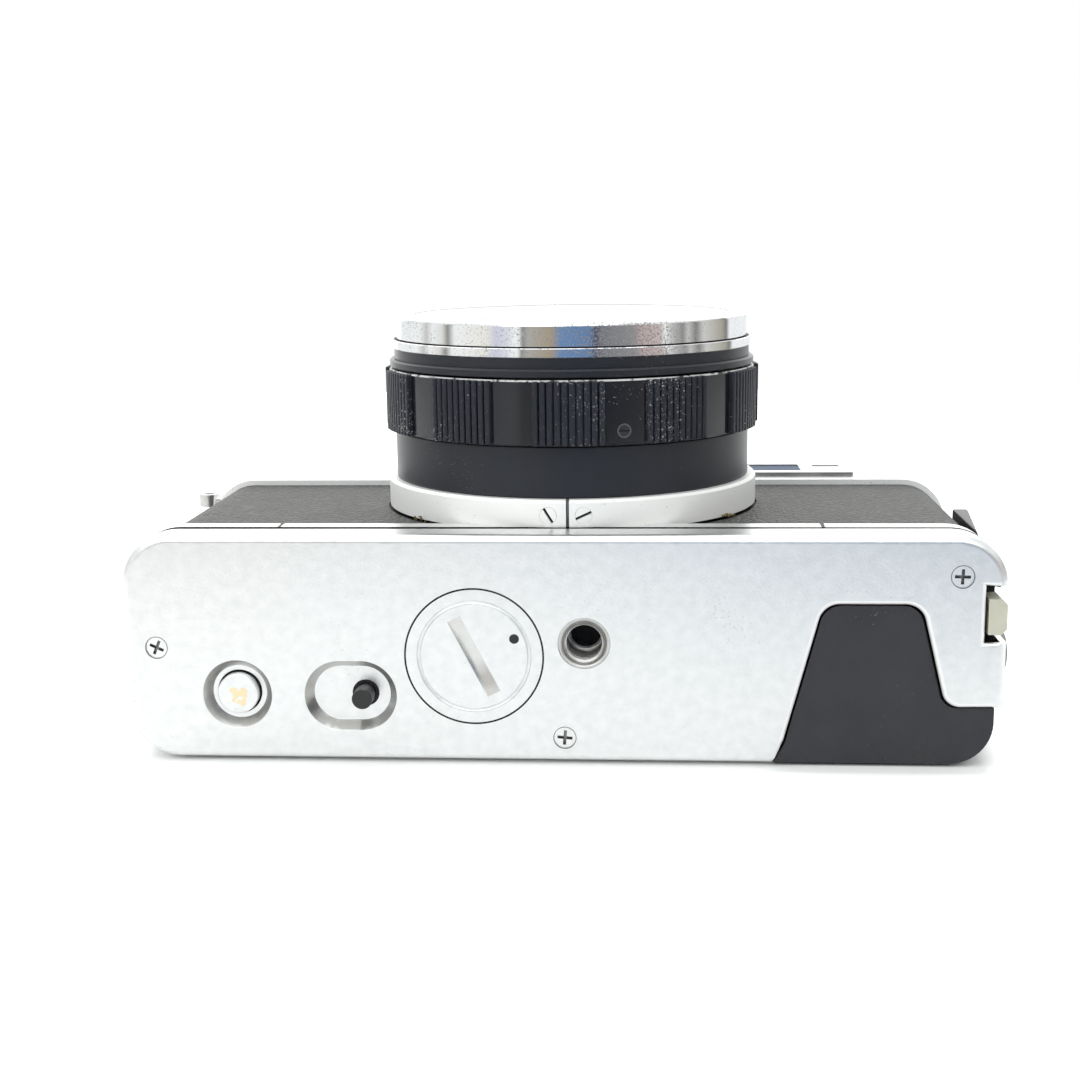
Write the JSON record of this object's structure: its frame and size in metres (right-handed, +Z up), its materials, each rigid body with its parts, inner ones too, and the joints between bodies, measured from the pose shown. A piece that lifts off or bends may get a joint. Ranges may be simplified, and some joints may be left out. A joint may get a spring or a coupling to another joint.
{
  "type": "half frame camera",
  "caption": "Compact half frame film camera with a wide ribbed lens barrel, silver covers, black leather, a hinged back and working controls.",
  "frame": {"origin": "axis of the tripod socket, on the base plane", "axes": "+Z up from the base to the deck, -Y out of the lens, +X to the right seen from the front"},
  "size_m": [0.1333, 0.0642, 0.0772],
  "materials": {
    "satin_silver": "satin",
    "black_paint": "satin",
    "leatherette": "matte",
    "steel": "satin",
    "chrome": "polished",
    "cream_plate": "satin",
    "black_plastic": "satin",
    "glass": "gloss",
    "brass": "satin"
  },
  "bodies": {
    "frame": {"body_casting": "black_paint", "bottom_cover": "satin_silver", "top_cover": "satin_silver", "front_trim": "satin_silver", "front_leather": "leatherette", "base_screws": "steel", "tripod_bush": "steel", "button_cell": "steel", "battery_contact": "brass", "sync_socket": "steel", "strap_lug": "steel", "hinge_pin": "steel", "release_collar": "satin_silver", "counter_window": "glass", "accessory_shoe": "chrome", "finder_bezel": "satin_silver", "finder_window": "glass", "meter_window": "glass", "finder_tunnel": "black_paint", "eyepiece_frame": "black_plastic", "eyepiece_glass": "glass", "lens_band": "satin_silver", "band_screws": "steel", "barrel_tube": "black_paint", "rear_element": "glass", "shutter_case": "black_paint"},
    "battery_cap": {"battery_cover": "satin_silver"},
    "rewind_release": {"rewind_button": "chrome"},
    "cell_check": {"check_pin": "black_plastic"},
    "latch": {"latch_bar": "cream_plate", "latch_catch": "black_plastic"},
    "door": {"rear_door": "black_paint", "door_leather": "leatherette", "plate_spring": "steel"},
    "film_plate": {"pressure_plate": "black_paint"},
    "spool": {"take_up_spool": "black_plastic"},
    "sprocket": {"film_sprocket": "steel"},
    "rewind": {"rewind_shaft": "steel", "rewind_knob": "satin_silver"},
    "crank": {"rewind_crank": "chrome"},
    "lever": {"advance_lever": "chrome", "lever_cap": "satin_silver"},
    "release": {"shutter_button": "chrome"},
    "counter": {"counter_disc": "black_plastic"},
    "focus": {"focus_ring": "black_paint", "focus_screw": "steel"},
    "lens_cell": {"front_cell": "black_paint", "lens_bezel": "chrome", "name_ring": "black_paint", "front_element": "glass"},
    "leaf_a": {"shutter_blade_a": "steel"},
    "leaf_b": {"shutter_blade_b": "steel"}
  },
  "joints": [
    {"name": "battery_cap_turn", "type": "hinge", "parent": "frame", "child": "battery_cap", "pos_m": [-0.01605, 0.00205, 0], "axis": [0, 0, 1], "range_deg": [0, 90]},
    {"name": "rewind_release_press", "type": "slide", "parent": "frame", "child": "rewind_release", "axis": [0, 0, 1], "range_m": [0, 0.0012], "stiffness_N_per_m": 300},
    {"name": "cell_check_press", "type": "slide", "parent": "frame", "child": "cell_check", "axis": [0, 0, 1], "range_m": [0, 0.0012], "stiffness_N_per_m": 300},
    {"name": "latch_slide", "type": "slide", "parent": "frame", "child": "latch", "axis": [0, 0, 1], "range_m": [0, 0.003]},
    {"name": "door_swing", "type": "hinge", "parent": "frame", "child": "door", "pos_m": [-0.0614, 0.0163, 0], "axis": [0, 0, 1], "range_deg": [0, 95]},
    {"name": "film_plate_float", "type": "slide", "parent": "door", "child": "film_plate", "axis": [0, 1, 0], "range_m": [0, 0.0006], "stiffness_N_per_m": 600},
    {"name": "lever_wind", "type": "hinge", "parent": "frame", "child": "lever", "pos_m": [-0.0499, 0.0019, 0.07], "axis": [0, 0, 1], "range_deg": [0, 130], "stiffness_Nm_per_rad": 0.004},
    {"name": "spool_turn", "type": "hinge", "parent": "frame", "child": "spool", "pos_m": [-0.0499, 0.0019, 0.036], "axis": [0, 0, 1], "range_deg": [0, 135]},
    {"name": "sprocket_turn", "type": "hinge", "parent": "frame", "child": "sprocket", "pos_m": [-0.0295, 0.00585, 0.036], "axis": [0, 0, 1], "range_deg": [0, 185]},
    {"name": "counter_turn", "type": "hinge", "parent": "frame", "child": "counter", "pos_m": [-0.0366, -0.0061, 0.066], "axis": [0, 0, 1], "range_deg": [0, 10]},
    {"name": "rewind_turn", "type": "hinge", "parent": "frame", "child": "rewind", "pos_m": [0.0414, 0.0006, 0.07], "axis": [0, 0, 1], "continuous": true},
    {"name": "crank_fold", "type": "hinge", "parent": "rewind", "child": "crank", "pos_m": [0.0351, 0.0006, 0.0734], "axis": [0, -1, 0], "range_deg": [0, 120]},
    {"name": "release_press", "type": "slide", "parent": "frame", "child": "release", "axis": [0, 0, -1], "range_m": [0, 0.002], "stiffness_N_per_m": 250},
    {"name": "focus_turn", "type": "hinge", "parent": "frame", "child": "focus", "pos_m": [-0.00333, -0.0326, 0.036], "axis": [0, -1, 0], "range_deg": [0, 112]},
    {"name": "lens_cell_travel", "type": "slide", "parent": "frame", "child": "lens_cell", "axis": [0, -1, 0], "range_m": [0, 0.0012]},
    {"name": "leaf_a_swing", "type": "hinge", "parent": "frame", "child": "leaf_a", "pos_m": [-0.01753, -0.0096, 0.043], "axis": [0, 1, 0], "range_deg": [0, 32]},
    {"name": "leaf_b_swing", "type": "hinge", "parent": "frame", "child": "leaf_b", "pos_m": [0.01087, -0.0106, 0.029], "axis": [0, 1, 0], "range_deg": [0, 32]}
  ],
  "couplings": [
    {"joint": "spool_turn", "follows": "lever_wind", "ratio": 1},
    {"joint": "sprocket_turn", "follows": "lever_wind", "ratio": 1.3846},
    {"joint": "counter_turn", "follows": "lever_wind", "ratio": 0.0692},
    {"joint": "focus_turn", "follows": "lens_cell_travel", "rad_per_m": 1599.9},
    {"joint": "leaf_b_swing", "follows": "leaf_a_swing", "ratio": 1}
  ]
}
